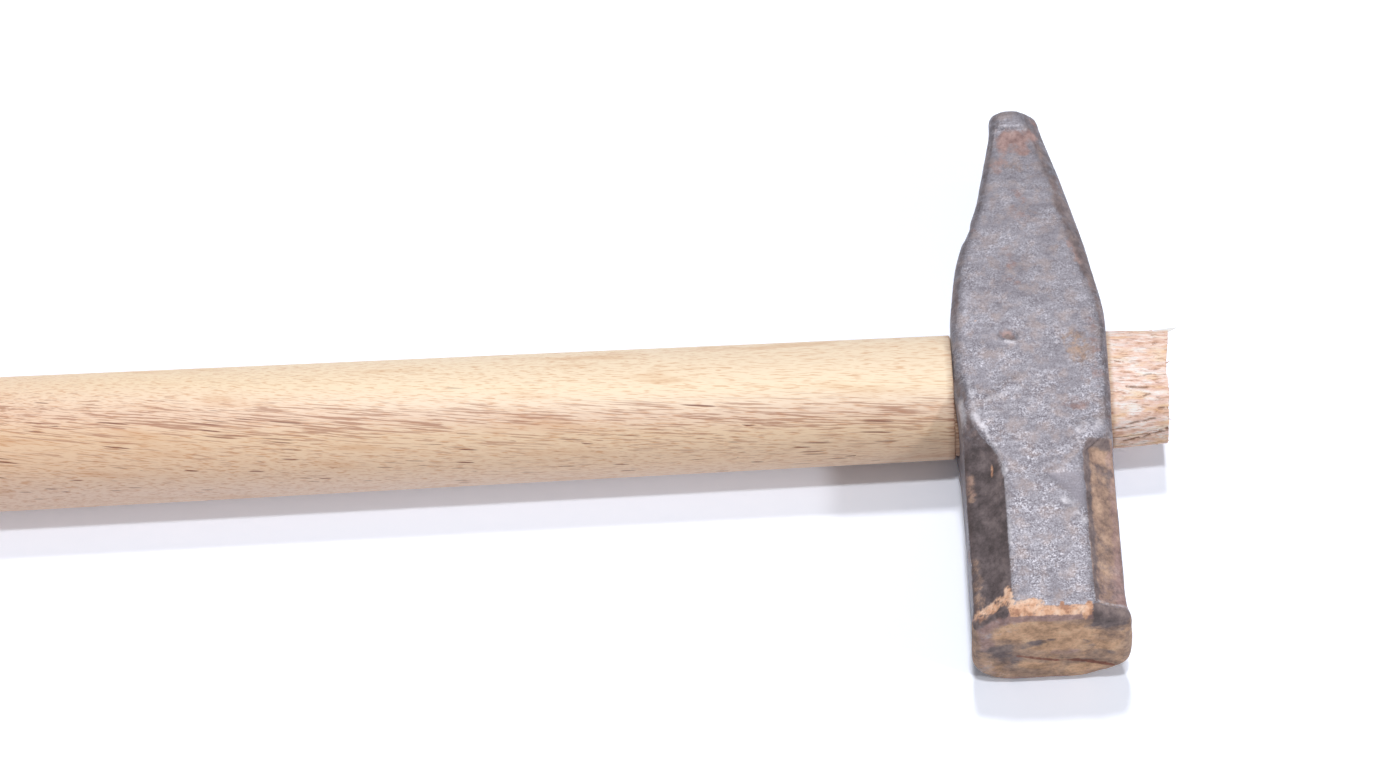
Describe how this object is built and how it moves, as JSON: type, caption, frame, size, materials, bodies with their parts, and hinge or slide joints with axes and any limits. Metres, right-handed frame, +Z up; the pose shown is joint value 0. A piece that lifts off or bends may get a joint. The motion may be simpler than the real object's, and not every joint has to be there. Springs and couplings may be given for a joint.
{
  "type": "cross-peen hammer",
  "caption": "Forged hammer head with a square striking face and a blunt cross peen, wedged on a turned wooden handle.",
  "frame": {"origin": "on the lower cheek of the head, straight under the centre of the eye", "axes": "+X along the handle towards the stub that stands out of the eye, +Y along the head towards the peen, +Z up, square to the two cheeks"},
  "size_m": [0.31, 0.1182, 0.028],
  "materials": {
    "forged_steel": "forged, used, with patches of rust",
    "handle_wood": "bare turned hardwood, lightly waxed",
    "wedge_wood": "bare sawn hardwood",
    "wedge_steel": "bare, struck flat"
  },
  "bodies": {
    "root": {"head": "forged_steel", "handle": "handle_wood", "wood_wedge": "wedge_wood", "steel_wedge_1": "wedge_steel", "steel_wedge_2": "wedge_steel"}
  },
  "joints": []
}
